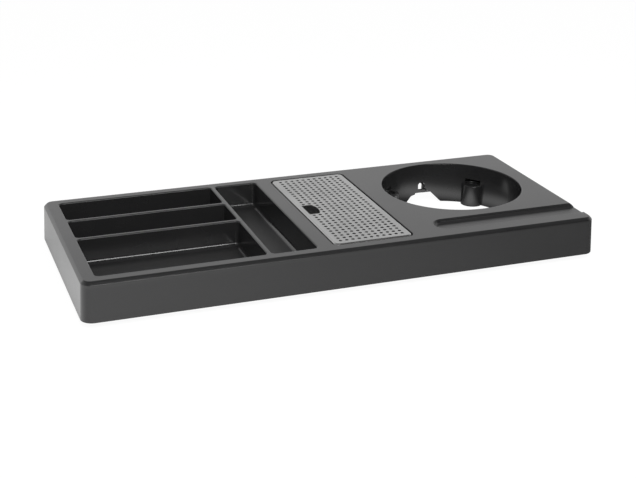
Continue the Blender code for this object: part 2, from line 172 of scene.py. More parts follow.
# Layout worked out from the sizes above
TRAY_DEPTH = 2 * RIM_MARGIN + 2 * KETTLE_RADIUS + CHANNEL_WIDTH + CHANNEL_MARGIN
TRAY_LENGTH = (END_MARGIN + LONG_SLOT_LENGTH + DIVIDER + CROSS_SLOT_WIDTH + GRILLE_BRIDGE + GRILLE_LENGTH
               + 2 * GRILLE_PLAY + KETTLE_BRIDGE + 2 * KETTLE_RADIUS + KETTLE_END_MARGIN)
LEFT = -TRAY_LENGTH / 2
RIGHT = TRAY_LENGTH / 2
FRONT = -TRAY_DEPTH / 2
BACK = TRAY_DEPTH / 2
UNDER_DECK = DECK_HEIGHT - SHELL_WALL
FLOOR = DECK_HEIGHT - COMPARTMENT_DEPTH
LEDGE = DECK_HEIGHT - GRILLE_RIM
BASIN_FLOOR = LEDGE - BASIN_DEPTH
POCKET_Y0 = FRONT + RIM_MARGIN
POCKET_Y1 = BACK - RIM_MARGIN
LONG_X0 = LEFT + END_MARGIN
LONG_X1 = LONG_X0 + LONG_SLOT_LENGTH
CROSS_X0 = LONG_X1 + DIVIDER
CROSS_X1 = CROSS_X0 + CROSS_SLOT_WIDTH
RECESS_X0 = CROSS_X1 + GRILLE_BRIDGE
RECESS_X1 = RECESS_X0 + GRILLE_LENGTH + 2 * GRILLE_PLAY
BACK_SLOT_Y = POCKET_Y1 - BACK_SLOT_WIDTH
MIDDLE_SLOT_Y = BACK_SLOT_Y - DIVIDER - MIDDLE_SLOT_WIDTH
GRILLE_WIDTH = POCKET_Y1 - POCKET_Y0 - 2 * GRILLE_PLAY
KETTLE_X = RIGHT - KETTLE_END_MARGIN - KETTLE_RADIUS
KETTLE_Y = BACK - RIM_MARGIN - KETTLE_RADIUS
BOSS_CIRCLE = KETTLE_RADIUS - BOSS_INSET
CORD_X = KETTLE_X + CORD_OFFSET
CHANNEL_X0 = RIGHT - CHANNEL_LENGTH
CHANNEL_Y0 = FRONT + CHANNEL_MARGIN
CHANNEL_FLOOR = DECK_HEIGHT - CHANNEL_DEPTH


# Mesh building


def quarter_turn(steps):
    """Angles from nothing to a right angle."""
    return [math.pi / 2 * i / steps for i in range(steps + 1)]


def rounded_ring(bounds, radius, z, grow):
    """Points of a rounded rectangle, anticlockwise, with its sides moved outwards by grow."""
    x0, x1, y0, y1 = bounds
    reach = max(radius + grow, LEAST_RADIUS)
    inset = reach - grow
    low_x, high_x, low_y, high_y = x0 + inset, x1 - inset, y0 + inset, y1 - inset
    centres = ((high_x, high_y), (low_x, high_y), (low_x, low_y), (high_x, low_y))
    points = []
    for quarter, (x, y) in enumerate(centres):
        for turn in quarter_turn(CORNER_STEPS):
            angle = quarter * math.pi / 2 + turn
            points.append((x + reach * math.cos(angle), y + reach * math.sin(angle), z))
    return points


def round_ring(x, y, radius, z, steps):
    """Points of a circle, anticlockwise."""
    turn = 2 * math.pi / steps
    return [(x + radius * math.cos(turn * i), y + radius * math.sin(turn * i), z) for i in range(steps)]


def add_loft(shape, rings):
    """Adds a closed solid through rings of equally many points, lowest ring first."""
    loops = [[shape.verts.new(point) for point in ring] for ring in rings]
    count = len(rings[0])
    for low, high in zip(loops, loops[1:]):
        for i in range(count):
            j = (i + 1) % count
            shape.faces.new((low[i], low[j], high[j], high[i]))
    shape.faces.new(reversed(loops[0]))
    shape.faces.new(loops[-1])


def make_object(name, shape):
    """An object from a bmesh, with its faces turned outwards."""
    bmesh.ops.recalc_face_normals(shape, faces=shape.faces)
    mesh = bpy.data.meshes.new(name)
    shape.to_mesh(mesh)
    shape.free()
    piece = bpy.data.objects.new(name, mesh)
    bpy.context.scene.collection.objects.link(piece)
    return piece


def lofts(name, solids):
    """One object of several solids that don't touch."""
    shape = bmesh.new()
    for rings in solids:
        add_loft(shape, rings)
    return make_object(name, shape)


def box(name, x0, x1, y0, y1, z0, z1):
    corners = ((x0, y0), (x1, y0), (x1, y1), (x0, y1))
    return lofts(name, [[[(x, y, z) for x, y in corners] for z in (z0, z1)]])


def turned(x, y, profile, steps):
    """Rings of a turned solid from (height, radius) steps."""
    return [round_ring(x, y, radius, z, steps) for z, radius in profile]


def boolean(target, tool, operation):
    """Joins the tool to the target or cuts it away, then removes the tool."""
    step = target.modifiers.new(tool.name, "BOOLEAN")
    step.operation = operation
    step.solver = "EXACT"
    step.object = tool
    bpy.context.view_layer.update()
    evaluated = target.evaluated_get(bpy.context.evaluated_depsgraph_get())
    result = bpy.data.meshes.new_from_object(evaluated)
    target.modifiers.clear()
    before = target.data
    target.data = result
    bpy.data.meshes.remove(before)
    spent = tool.data
    bpy.data.objects.remove(tool)
    bpy.data.meshes.remove(spent)


def join(target, *tools):
    for tool in tools:
        boolean(target, tool, "UNION")


def cut(target, *tools):
    for tool in tools:
        boolean(target, tool, "DIFFERENCE")


def softened_edge(softening, top=DECK_HEIGHT):
    """(height, growth) steps of a rounded top edge round an opening."""
    steps = []
    for angle in quarter_turn(SOFTENING_STEPS):
        steps.append((top - softening * (1 - math.sin(angle)), softening * (1 - math.cos(angle))))
    return steps + [(top + OVERRUN, softening)]


def filleted_floor(floor, top, fillet, draft):
    """(height, growth) steps of a floor fillet below a drafted wall that ends at top."""
    foot = -(top - floor) * math.tan(draft)
    steps = []
    for angle in quarter_turn(FILLET_STEPS):
        steps.append((floor + fillet * (1 - math.cos(angle)), foot - fillet * (1 - math.sin(angle))))
    return steps


def rounded_loft(name, bounds, corner, profile):
    """A solid with rounded-rectangle sections that follows (height, growth) steps."""
    return lofts(name, [[rounded_ring(bounds, corner, z, grow) for z, grow in profile]])


# The tray body


def tray_outside():
    """The drafted outside with its rounded top edge, flatter in the middle than an arc, and a slightly
    rounded lower edge."""
    wall_top = DECK_HEIGHT - EDGE_RADIUS
    slope = math.tan(WALL_DRAFT)
    profile = []
    for angle in quarter_turn(LOWER_EDGE_STEPS):
        rise = FOOT_EDGE_RADIUS * (1 - math.cos(angle))
        profile.append((WALL_CLEARANCE + rise, -rise * slope - FOOT_EDGE_RADIUS * (1 - math.sin(angle))))
    inset = (wall_top - WALL_CLEARANCE) * slope
    for angle in quarter_turn(TOP_EDGE_STEPS):
        height = wall_top + EDGE_RADIUS * math.sin(angle) ** EDGE_POWER
        profile.append((height, -inset - EDGE_RADIUS * (1 - math.cos(angle) ** EDGE_POWER)))
    return rounded_loft("tray_shell", (LEFT, RIGHT, FRONT, BACK), CORNER_RADIUS, profile)


def underside_hollow():
    """The space below the deck, one wall in from the outside, before webs and tubs fill parts of it."""
    slope = math.tan(WALL_DRAFT)
    profile = [(WALL_CLEARANCE - OVERRUN, OVERRUN * slope - SHELL_WALL),
               (UNDER_DECK, (WALL_CLEARANCE - UNDER_DECK) * slope - SHELL_WALL)]
    return rounded_loft("underside_hollow", (LEFT, RIGHT, FRONT, BACK), CORNER_RADIUS, profile)


def tub(name, bounds, floor, top):
    """The material round a pocket, one wall thicker than the pocket on every side."""
    foot = SHELL_WALL - (top - floor) * math.tan(POCKET_DRAFT)
    profile = [(floor - SHELL_WALL, foot), (top + SHELL_WALL, SHELL_WALL)]
    return rounded_loft(name, bounds, POCKET_CORNER, profile)


def compartment_cutters():
    """The three long slots and the cross slot, in one tool."""
    profile = filleted_floor(FLOOR, DECK_HEIGHT, POCKET_FILLET, POCKET_DRAFT) + softened_edge(EDGE_SOFTENING)
    places = ((LONG_X0, LONG_X1, BACK_SLOT_Y, POCKET_Y1),
              (LONG_X0, LONG_X1, MIDDLE_SLOT_Y, BACK_SLOT_Y - DIVIDER),
              (LONG_X0, LONG_X1, POCKET_Y0, MIDDLE_SLOT_Y - DIVIDER),
              (CROSS_X0, CROSS_X1, POCKET_Y0, POCKET_Y1))
    return lofts("compartments", [[rounded_ring(place, POCKET_CORNER, z, grow) for z, grow in profile]
                                  for place in places])


def recess_bounds():
    return RECESS_X0, RECESS_X1, POCKET_Y0, POCKET_Y1


def basin_bounds():
    x0, x1, y0, y1 = recess_bounds()
    return x0 + LEDGE_WIDTH, x1 - LEDGE_WIDTH, y0 + LEDGE_WIDTH, y1 - LEDGE_WIDTH


def drip_well_cutters():
    """The shallow recess that seats the grille, and the basin below its ledge."""
    recess = [(LEDGE, 0)] + softened_edge(RECESS_SOFTENING)
    basin = filleted_floor(BASIN_FLOOR, LEDGE, BASIN_FILLET, POCKET_DRAFT)
    basin += softened_edge(RECESS_SOFTENING, LEDGE)
    return (rounded_loft("grille_recess", recess_bounds(), GRILLE_CORNER + GRILLE_PLAY, recess),
            rounded_loft("drip_basin", basin_bounds(), POCKET_CORNER, basin))


def skirt_radius(z):
    """Inner radius of the kettle well's drafted wall."""
    return KETTLE_RADIUS - (DECK_HEIGHT - z) * math.tan(WALL_DRAFT)


def skirt():
    """The wall of the kettle well, from just above the table into the deck."""
    profile = [(z, skirt_radius(z) + SHELL_WALL) for z in (SKIRT_CLEARANCE, DECK_HEIGHT - SHELL_WALL / 2)]
    return lofts("skirt", [turned(KETTLE_X, KETTLE_Y, profile, ROUND_STEPS)])


def kettle_cutter():
    low = SKIRT_CLEARANCE - OVERRUN
    profile = [(low, skirt_radius(low))]
    profile += [(z, KETTLE_RADIUS + grow) for z, grow in softened_edge(KETTLE_SOFTENING)]
    return lofts("kettle_opening", [turned(KETTLE_X, KETTLE_Y, profile, ROUND_STEPS)])


def boss_places():
    for i in range(BOSS_COUNT):
        angle = BOSS_ANGLE + 2 * math.pi * i / BOSS_COUNT
        yield KETTLE_X + BOSS_CIRCLE * math.cos(angle), KETTLE_Y + BOSS_CIRCLE * math.sin(angle)


def bosses():
    profile = [(SKIRT_CLEARANCE, BOSS_RADIUS)]
    for angle in quarter_turn(SOFTENING_STEPS):
        drop = BOSS_ROUNDING * (1 - math.sin(angle))
        profile.append((BOSS_HEIGHT - drop, BOSS_RADIUS - BOSS_ROUNDING * (1 - math.cos(angle))))
    return lofts("bosses", [turned(x, y, profile, BOSS_STEPS) for x, y in boss_places()])


def boss_cutters():
    """The sockets in the tops of the bosses and the bores through their floors."""
    floor = BOSS_HEIGHT - BOSS_SOCKET_DEPTH
    socket = [(floor, BOSS_SOCKET_RADIUS)]
    socket += [(z, BOSS_SOCKET_RADIUS + grow) for z, grow in softened_edge(BOSS_ROUNDING, BOSS_HEIGHT)]
    bore = [(-OVERRUN, BOSS_BORE_RADIUS), (BOSS_HEIGHT, BOSS_BORE_RADIUS)]
    return (lofts("boss_sockets", [turned(x, y, socket, BOSS_STEPS) for x, y in boss_places()]),
            lofts("boss_bores", [turned(x, y, bore, SMALL_STEPS) for x, y in boss_places()]))


def channel(name, end, profile):
    """A trough section with a round left end, from the left end of the spoon channel to x = end."""
    radius = CHANNEL_WIDTH / 2
    rings = []
    for z, grow in profile:
        ring = [(end, CHANNEL_Y0 - grow, z), (end, CHANNEL_Y0 + CHANNEL_WIDTH + grow, z)]
        for turn in quarter_turn(3 * CORNER_STEPS):
            angle = math.pi / 2 + 2 * turn
            x = CHANNEL_X0 + radius + (radius + grow) * math.cos(angle)
            ring.append((x, CHANNEL_Y0 + radius + (radius + grow) * math.sin(angle), z))
        rings.append(ring)
    return lofts(name, [rings])


def channel_cutter():
    floor = filleted_floor(CHANNEL_FLOOR, DECK_HEIGHT, CHANNEL_FILLET, CHANNEL_DRAFT)
    return channel("spoon_channel", RIGHT + OVERRUN, floor + softened_edge(CHANNEL_SOFTENING))


def channel_backing():
    profile = [(CHANNEL_FLOOR - SHELL_WALL, SHELL_WALL), (DECK_HEIGHT, SHELL_WALL)]
    return channel("channel_backing", RIGHT, profile)


def web(name, x0, x1, y0, y1):
    """A stiffening web under the deck. One of its two spans is zero and gets the web's thickness."""
    half = WEB_THICKNESS / 2
    if x0 == x1:
        return box(name, x0 - half, x1 + half, y0, y1, WEB_CLEARANCE, DECK_HEIGHT)
    return box(name, x0, x1, y0 - half, y1 + half, WEB_CLEARANCE, DECK_HEIGHT)


def webs():
    """Webs below the slots and across to the outer wall, and webs that tie in the kettle skirt."""
    across = ((LONG_X0 + LONG_X1) / 2, (LONG_X1 + CROSS_X0) / 2, (CROSS_X1 + RECESS_X0) / 2)
    along = (BACK_SLOT_Y - DIVIDER / 2, MIDDLE_SLOT_Y - DIVIDER / 2)
    pieces = [web("web_across", x, x, FRONT, BACK) for x in across]
    pieces += [web("web_along", LEFT, RECESS_X1, y, y) for y in along]
    pieces.append(web("web_to_end", RECESS_X1, RIGHT, KETTLE_Y, KETTLE_Y))
    pieces.append(web("web_to_front", KETTLE_X, KETTLE_X, FRONT, KETTLE_Y))
    for x, y in boss_places():
        if y > KETTLE_Y:
            pieces.append(web("web_to_back", x, x, y, BACK))
    return pieces


def wall_cutter(name, outline, y0, y1):
    """An outline of (x, z) points driven through a wall along Y."""
    return lofts(name, [[[(x, y, z) for x, z in outline] for y in (y0, y1)]])


def notch_outline():
    """The notch in the skirt: a wide trapezoid with a small lip in its top left corner."""
    low = SKIRT_CLEARANCE - OVERRUN
    half_top = NOTCH_TOP_WIDTH / 2
    half_low = half_top + NOTCH_HEIGHT - low
    lip_x = KETTLE_X - half_top + LIP_WIDTH
    return [(KETTLE_X - half_low, low), (KETTLE_X + half_low, low), (KETTLE_X + half_top, NOTCH_HEIGHT),
            (lip_x, NOTCH_HEIGHT), (lip_x, NOTCH_HEIGHT - LIP_TIP),
            (KETTLE_X - half_top - LIP_DROP, NOTCH_HEIGHT - LIP_DROP)]


def grip_outline():
    """The grip hole above the notch, with a level sill and a rounded top."""
    low = NOTCH_HEIGHT + GRIP_RISE
    right = CORD_X - GRIP_OFFSET + GRIP_WIDTH / 2
    left = right - GRIP_WIDTH
    spring = low + GRIP_HEIGHT - GRIP_CORNER
    outline = [(left, low), (right, low)]
    for quarter, x in enumerate((right - GRIP_CORNER, left + GRIP_CORNER)):
        for turn in quarter_turn(CORNER_STEPS):
            angle = quarter * math.pi / 2 + turn
            outline.append((x + GRIP_CORNER * math.cos(angle), spring + GRIP_CORNER * math.sin(angle)))
    return outline


def slit_outline():
    """The leaning slit from the grip hole down into the notch, which leaves a tongue beside it."""
    top = NOTCH_HEIGHT + GRIP_RISE + SLIT_RISE
    low = NOTCH_HEIGHT - SLIT_OVERLAP
    right = CORD_X - GRIP_OFFSET + GRIP_WIDTH / 2
    shift = (top - low) * SLIT_LEAN
    return [(right + shift - SLIT_WIDTH, low), (right + shift, low), (right, top), (right - SLIT_WIDTH, top)]


def exit_outline():
    """The arched slot in the back wall."""
    radius = EXIT_WIDTH / 2
    spring = WALL_CLEARANCE + EXIT_HEIGHT - radius
    outline = [(CORD_X - radius, WALL_CLEARANCE - OVERRUN), (CORD_X + radius, WALL_CLEARANCE - OVERRUN)]
    for turn in quarter_turn(2 * CORNER_STEPS):
        outline.append((CORD_X + radius * math.cos(2 * turn), spring + radius * math.sin(2 * turn)))
    return outline


def cord_cutters():
    """The cord's way out: a notch in the skirt, a grip hole with its slit, and a slot in the back wall."""
    inside = KETTLE_Y + BOSS_CIRCLE - BOSS_RADIUS
    outside = KETTLE_Y + KETTLE_RADIUS + SHELL_WALL + EDGE_SOFTENING
    through = BACK - 2 * SHELL_WALL - EDGE_RADIUS / 2
    return (wall_cutter("cord_notch", notch_outline(), inside, outside),
            wall_cutter("grip_hole", grip_outline(), inside, outside),
            wall_cutter("grip_slit", slit_outline(), inside, outside),
            wall_cutter("cord_exit", exit_outline(), through, BACK + OVERRUN))


def foot_places():
    """(x, y, top of the post) of each foot."""
    left = LEFT + FOOT_INSET_X
    right = RIGHT - FOOT_INSET_X
    middle = (RECESS_X0 + RECESS_X1) / 2
    under_floor = FLOOR - SHELL_WALL / 2
    front = FRONT + FOOT_INSET_Y
    back = BACK - FOOT_INSET_Y
    middle_front = FRONT + MIDDLE_FOOT_INSET
    middle_back = BACK - MIDDLE_FOOT_INSET
    under_basin = BASIN_FLOOR - SHELL_WALL / 2
    return ((left, front, under_floor), (middle, middle_front, under_basin),
            (right, front, CHANNEL_FLOOR - SHELL_WALL / 2), (left, back, under_floor),
            (middle, middle_back, under_basin), (right, back, DECK_HEIGHT - SHELL_WALL / 2))


def foot_posts():
    return lofts("foot_posts", [turned(x, y, ((WALL_CLEARANCE, POST_RADIUS), (top, POST_RADIUS)), BOSS_STEPS)
                                for x, y, top in foot_places()])


def foot_sockets():
    radius = SPIGOT_RADIUS + SEAT_GAP
    profile = ((0, radius), (WALL_CLEARANCE + SPIGOT_LENGTH + SEAT_GAP, radius))
    return lofts("foot_sockets", [turned(x, y, profile, SMALL_STEPS) for x, y, _ in foot_places()])


def make_shell():
    hollow = underside_hollow()
    cut(hollow, tub("long_tub", (LONG_X0, LONG_X1, POCKET_Y0, POCKET_Y1), FLOOR, DECK_HEIGHT))
    cut(hollow, tub("cross_tub", (CROSS_X0, CROSS_X1, POCKET_Y0, POCKET_Y1), FLOOR, DECK_HEIGHT))
    cut(hollow, tub("recess_tub", recess_bounds(), LEDGE, DECK_HEIGHT))
    cut(hollow, tub("basin_tub", basin_bounds(), BASIN_FLOOR, LEDGE))
    cut(hollow, channel_backing(), *webs())
    shell = tray_outside()
    cut(shell, hollow)
    join(shell, skirt(), foot_posts())
    cut(shell, foot_sockets(), kettle_cutter())
    join(shell, bosses())
    cut(shell, *boss_cutters(), compartment_cutters(), *drip_well_cutters(), channel_cutter())
    cut(shell, *cord_cutters())
    return shell


# The drip grille


def finger_outline(grow):
    """The D-shaped finger cut-out: a straight side towards the slots and a bowed side."""
    x0 = FINGER_SETBACK - GRILLE_LENGTH / 2 - grow
    x1 = x0 + FINGER_WIDTH + 2 * grow
    half = FINGER_LENGTH / 2 + grow
    radius = (half * half + FINGER_BOW * FINGER_BOW) / (2 * FINGER_BOW)
    spread = math.asin(half / radius)
    outline = [(x0, half), (x0, -half)]
    for i in range(CORNER_STEPS + 1):
        angle = spread * (2 * i / CORNER_STEPS - 1)
        outline.append((x1 - radius + radius * math.cos(angle), radius * math.sin(angle)))
    return outline


def spread_of_holes(span, pitch):
    """Places of one row of holes across a span, centred and clear of the border."""
    count = int((span - 2 * GRILLE_BORDER) / pitch) + 1
    return [(i - (count - 1) / 2) * pitch for i in range(count)]


def grille_holes():
    """Centres of the square grid of holes, without those that the finger cut-out replaces."""
    reach_x = FINGER_SETBACK + FINGER_WIDTH - GRILLE_LENGTH / 2 + HOLE_RADIUS
    reach_y = FINGER_LENGTH / 2 + HOLE_RADIUS
    for x in spread_of_holes(GRILLE_LENGTH, HOLE_PITCH_X):
        for y in spread_of_holes(GRILLE_WIDTH, HOLE_PITCH_Y):
            if x > reach_x or abs(y) > reach_y:
                yield x, y


def make_plate():
    """The folded steel plate, with a slightly dished edge at each punched hole."""
    half_x = GRILLE_LENGTH / 2
    half_y = GRILLE_WIDTH / 2
    bounds = (-half_x, half_x, -half_y, half_y)
    inner_bend = GRILLE_BEND - GRILLE_SHEET
    outside = [(0, 0)]
    inside = [(-OVERRUN, -GRILLE_SHEET)]
    for angle in quarter_turn(FILLET_STEPS):
        below = 1 - math.sin(angle)
        inwards = 1 - math.cos(angle)
        outside.append((GRILLE_RIM - GRILLE_BEND * below, -GRILLE_BEND * inwards))
        inside.append((GRILLE_RIM - GRILLE_SHEET - inner_bend * below, -GRILLE_SHEET - inner_bend * inwards))
    plate = rounded_loft("grille_plate", bounds, GRILLE_CORNER, outside)
    cut(plate, rounded_loft("grille_inside", bounds, GRILLE_CORNER, inside))
    profile = ((0, 0), (GRILLE_RIM - HOLE_BURR, 0), (GRILLE_RIM, HOLE_BURR),
               (GRILLE_RIM + OVERRUN, HOLE_BURR))
    punches = bmesh.new()
    for x, y in grille_holes():
        add_loft(punches, [round_ring(x, y, HOLE_RADIUS + grow, z, HOLE_STEPS) for z, grow in profile])
    add_loft(punches, [[(x, y, z) for x, y in finger_outline(grow)] for z, grow in profile])
    cut(plate, make_object("grille_punches", punches))
    place = Vector(((RECESS_X0 + RECESS_X1) / 2, (POCKET_Y0 + POCKET_Y1) / 2, LEDGE + SEAT_GAP))
    plate.data.transform(Matrix.Translation(place))
    return plate


# The feet


def make_pad(name, x, y):
    """A rubber foot with rounded rims, a shallow groove round it, and its spigot."""
    top = WALL_CLEARANCE - SEAT_GAP
    middle = top / 2
    profile = [(0, FOOT_RADIUS - FOOT_CHAMFER)]
    for angle in quarter_turn(FOOT_RIM_STEPS)[1:]:
        rise = FOOT_CHAMFER * (1 - math.cos(angle))
        profile.append((rise, FOOT_RADIUS - FOOT_CHAMFER * (1 - math.sin(angle))))
    profile += [(middle - 2 * FOOT_GROOVE, FOOT_RADIUS), (middle - FOOT_GROOVE, FOOT_RADIUS - FOOT_GROOVE),
                (middle + FOOT_GROOVE, FOOT_RADIUS - FOOT_GROOVE), (middle + 2 * FOOT_GROOVE, FOOT_RADIUS),
                (top - FOOT_GROOVE, FOOT_RADIUS), (top, FOOT_RADIUS - FOOT_GROOVE), (top, SPIGOT_RADIUS),
                (WALL_CLEARANCE + SPIGOT_LENGTH, SPIGOT_RADIUS)]
    return lofts(name, [turned(x, y, profile, SMALL_STEPS)])


# Materials

DECK_ROUGHNESS = 0.30
FRONT_ROUGHNESS = 0.55
WALL_ROUGHNESS = 0.17
FLOOR_ROUGHNESS = 0.52
FLOOR_BLEND = POCKET_FILLET / 8
PLASTIC_IOR = 1.58
STEEL_ROUGHNESS = (0.38, 0.44)
RUBBER_ROUGHNESS = 0.78
BRUSHING = (3200, 60, 3200)

# The outer top edge gets painted shade: the share of the plastic's tone that it keeps,
# # and how far below the deck the painted shade starts
EDGE_PAINTED_SHADE = 0.5
EDGE_SHADE_BAND = 1.5 * EDGE_RADIUS

# The span of noise values that sets a sheen, and how far it moves the plastic's roughness
NOISE_LOW = 0.3
NOISE_HIGH = 0.7
CLOUD_SHEEN = 0.05
GRAIN_SHEEN = 0.06

# Colours by noise value
PLASTIC_TONES = ((0.3, (0.0156, 0.0156, 0.0159)), (0.7, (0.0188, 0.0188, 0.0191)))
STEEL_TONES = ((0.3, (0.46, 0.46, 0.457)), (0.7, (0.56, 0.56, 0.557)))
RUBBER_TONES = ((0.3, (0.010, 0.010, 0.010)), (0.75, (0.019, 0.019, 0.018)))


def node_maker(tree):
    """A helper that adds a node and sets or links its inputs."""
    def add(kind, inputs=(), **settings):
        node = tree.nodes.new(kind)
        for key, value in settings.items():
            setattr(node, key, value)
        for key, value in dict(inputs).items():
            if isinstance(value, bpy.types.NodeSocket):
                tree.links.new(value, node.inputs[key])
            else:
                node.inputs[key].default_value = value
        return node
    return add


def grade(add, value, low, high, start, end):
    """A node that maps low to high onto start to end, and holds the ends."""
    return add("ShaderNodeMapRange", {"Value": value, "From Min": low, "From Max": high,
                                      "To Min": start, "To Max": end}).outputs["Result"]


def calculate(add, operation, first, second=0.0):
    return add("ShaderNodeMath", {0: first, 1: second}, operation=operation).outputs["Value"]


def distance(add, place, x, y):
    """A node that measures how far a place is from an upright axis."""
    offset = add("ShaderNodeVectorMath", {0: place, 1: (x, y, 0)}, operation="SUBTRACT").outputs["Vector"]
    level = add("ShaderNodeVectorMath", {0: offset, 1: (1, 1, 0)}, operation="MULTIPLY").outputs["Vector"]
    return add("ShaderNodeVectorMath", {0: level}, operation="LENGTH").outputs["Value"]


def mix(add, factor, first, second):
    """A node that goes from the first number to the second as its factor goes from 0 to 1."""
    return add("ShaderNodeMix", {"Factor": factor, 2: first, 3: second}, data_type="FLOAT").outputs[0]


def mix_colour(add, factor, first, second):
    return add("ShaderNodeMix", {"Factor": factor, 6: first, 7: second}, data_type="RGBA").outputs[2]


def dim(add, colour, strength):
    """A node that multiplies a colour by a number."""
    return add("ShaderNodeVectorMath", {0: colour, "Scale": strength}, operation="SCALE").outputs["Vector"]


def noise(add, place, scale, detail, roughness=0.5):
    return add("ShaderNodeTexNoise", {"Vector": place, "Scale": scale, "Detail": detail,
                                      "Roughness": roughness}).outputs["Fac"]


def ramp(add, value, pairs):
    """A colour ramp over a value, from (value, grey or colour) pairs."""
    node = add("ShaderNodeValToRGB", {"Fac": value})
    elements = node.color_ramp.elements
    while len(elements) < len(pairs):
        elements.new(0.5)
    for element, (position, tone) in zip(elements, pairs):
        element.position = position
        colour = tone if isinstance(tone, tuple) else (tone, tone, tone)
        element.color = (*colour, 1)
    return node.outputs["Color"]


def new_material(name):
    """A node material, with its tree, its shader and a helper that adds a node."""
    material = bpy.data.materials.new(name)
    material.use_nodes = True
    tree = material.node_tree
    return material, tree, tree.nodes["Principled BSDF"], node_maker(tree)


def add_relief(add, tree, shader, height, strength, depth):
    """Gives a shader bumps from a height node, with a depth in metres."""
    bump = add("ShaderNodeBump", {"Height": height, "Strength": strength, "Distance": depth})
    tree.links.new(bump.outputs["Normal"], shader.inputs["Normal"])


def finish_zones(add, place):
    """Masks of the insides of the slots and the kettle well, of the slots' floors, of the front wall, and
    of the outer top edge, where shade is painted."""
    split = add("ShaderNodeSeparateXYZ", {"Vector": place}).outputs
    from_centre_x = calculate(add, "ABSOLUTE", split["X"])
    from_centre_y = calculate(add, "ABSOLUTE", split["Y"])
    middle = (LONG_X0 + CROSS_X1) / 2
    half = CROSS_X1 - middle
    from_middle = calculate(add, "ABSOLUTE", calculate(add, "SUBTRACT", split["X"], middle))
    along = grade(add, from_middle, half, half + EDGE_SOFTENING, 1, 0)
    across = grade(add, from_centre_y, POCKET_Y1, POCKET_Y1 + EDGE_SOFTENING, 1, 0)
    below = grade(add, split["Z"], DECK_HEIGHT - 2 * EDGE_SOFTENING, DECK_HEIGHT - EDGE_SOFTENING, 1, 0)
    slots = calculate(add, "MINIMUM", calculate(add, "MINIMUM", along, across), below)
    from_well = distance(add, place, KETTLE_X, KETTLE_Y)
    well = grade(add, from_well, KETTLE_RADIUS, KETTLE_RADIUS + KETTLE_SOFTENING, 1, 0)
    low = grade(add, split["Z"], FLOOR, FLOOR + FLOOR_BLEND, 1, 0)
    under_edge = grade(add, split["Z"], DECK_HEIGHT - 2 * EDGE_RADIUS, DECK_HEIGHT - EDGE_RADIUS, 1, 0)
    near = grade(add, split["Y"], FRONT + EDGE_RADIUS, FRONT + 2 * EDGE_RADIUS, 1, 0)
    high = grade(add, split["Z"], DECK_HEIGHT - EDGE_SHADE_BAND, DECK_HEIGHT - EDGE_RADIUS, 0, 1)
    outer_x = grade(add, from_centre_x, RIGHT - EDGE_RADIUS, RIGHT - EDGE_RADIUS / 2, 0, 1)
    outer_y = grade(add, from_centre_y, BACK - EDGE_RADIUS, BACK - EDGE_RADIUS / 2, 0, 1)
    insides = calculate(add, "MAXIMUM", slots, well)
    floors = calculate(add, "MULTIPLY", slots, low)
    front = calculate(add, "MULTIPLY", under_edge, near)
    # The outer top edge, where moulded_plastic paints shade
    edge = calculate(add, "MULTIPLY", high, calculate(add, "MAXIMUM", outer_x, outer_y))
    return insides, floors, front, edge


def moulded_plastic():
    """Satin black plastic with a fine spark-eroded grain and slight unevenness in its sheen. The walls
    inside the slots and the kettle well are glossier, the slots' floors and the front wall are duller, and
    the outer top edge gets painted shade that makes it a deeper black."""
    material, tree, shader, add = new_material("satin_black_plastic")
    place = add("ShaderNodeTexCoord").outputs["Object"]
    grain = noise(add, place, scale=2600, detail=3, roughness=0.6)
    cloud = noise(add, place, scale=22, detail=4, roughness=0.55)
    insides, floors, front, edge = finish_zones(add, place)
    # Painted shade: the colour is darkened on the outer top edge
    tone = dim(add, ramp(add, cloud, PLASTIC_TONES), grade(add, edge, 0, 1, 1, EDGE_PAINTED_SHADE))
    tree.links.new(tone, shader.inputs["Base Color"])
    sheen = calculate(add, "ADD", grade(add, cloud, NOISE_LOW, NOISE_HIGH, 1 - CLOUD_SHEEN, 1 + CLOUD_SHEEN),
                      grade(add, grain, NOISE_LOW, NOISE_HIGH, -GRAIN_SHEEN, GRAIN_SHEEN))
    finish = mix(add, front, DECK_ROUGHNESS, FRONT_ROUGHNESS)
    finish = mix(add, insides, finish, WALL_ROUGHNESS)
    finish = mix(add, floors, finish, FLOOR_ROUGHNESS)
    tree.links.new(calculate(add, "MULTIPLY", sheen, finish), shader.inputs["Roughness"])
    add_relief(add, tree, shader, grain, strength=0.06, depth=0.0001)
    shader.inputs["IOR"].default_value = PLASTIC_IOR
    return material


def brushed_steel():
    """Fine satin stainless steel, brushed along the plate's longer sides."""
    material, tree, shader, add = new_material("brushed_steel")
    place = add("ShaderNodeTexCoord").outputs["Object"]
    stretched = add("ShaderNodeMapping", {"Vector": place, "Scale": BRUSHING}).outputs["Vector"]
    lines = noise(add, stretched, scale=1, detail=3, roughness=0.65)
    cloud = noise(add, place, scale=30, detail=3)
    tree.links.new(ramp(add, lines, STEEL_TONES), shader.inputs["Base Color"])
    sheen = grade(add, cloud, NOISE_LOW, NOISE_HIGH, *STEEL_ROUGHNESS)
    tree.links.new(sheen, shader.inputs["Roughness"])
    add_relief(add, tree, shader, lines, strength=0.15, depth=0.00005)
    shader.inputs["Metallic"].default_value = 1
    return material


def black_rubber():
    """Matt rubber with a slightly dusty, pebbled skin."""
    material, tree, shader, add = new_material("black_rubber")
    place = add("ShaderNodeTexCoord").outputs["Object"]
    grain = noise(add, place, scale=1500, detail=4)
    tree.links.new(ramp(add, grain, RUBBER_TONES), shader.inputs["Base Color"])
    add_relief(add, tree, shader, grain, strength=0.4, depth=0.0001)
    shader.inputs["Roughness"].default_value = RUBBER_ROUGHNESS
    return material


